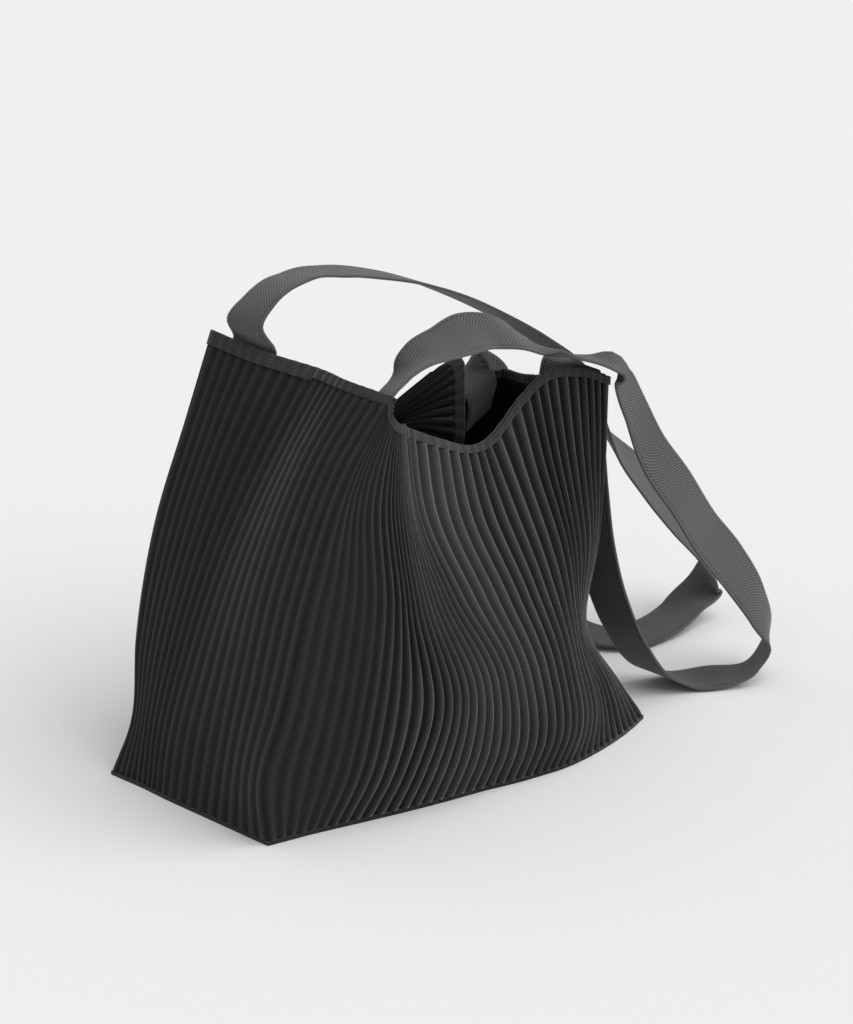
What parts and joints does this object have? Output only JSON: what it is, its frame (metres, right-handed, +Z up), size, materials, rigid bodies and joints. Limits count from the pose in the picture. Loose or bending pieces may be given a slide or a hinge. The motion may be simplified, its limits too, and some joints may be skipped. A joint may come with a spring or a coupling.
{
  "type": "pleated shopper bag",
  "caption": "Soft open-topped shopper bag of finely pleated cloth on a flat base, with two long flat webbing shoulder straps, slumped as it stands on a table.",
  "frame": {"origin": "centre of the flat base panel's underside, on the surface that the bag stands on", "axes": "+X to the bag's right along its length, the side that the straps hang down, +Y from the front wall to the back wall, +Z up"},
  "size_m": [0.5167, 0.2215, 0.3134],
  "materials": {
    "pleated_cloth": "matte black ribbed knit",
    "base_cloth": "matte black woven cloth",
    "webbing": "low sheen charcoal webbing"
  },
  "bodies": {
    "root": {"base_panel": "base_cloth", "front_panel": "pleated_cloth", "back_panel": "pleated_cloth", "front_hem": "pleated_cloth", "back_hem": "pleated_cloth", "front_strap": "webbing", "back_strap": "webbing"}
  },
  "joints": []
}
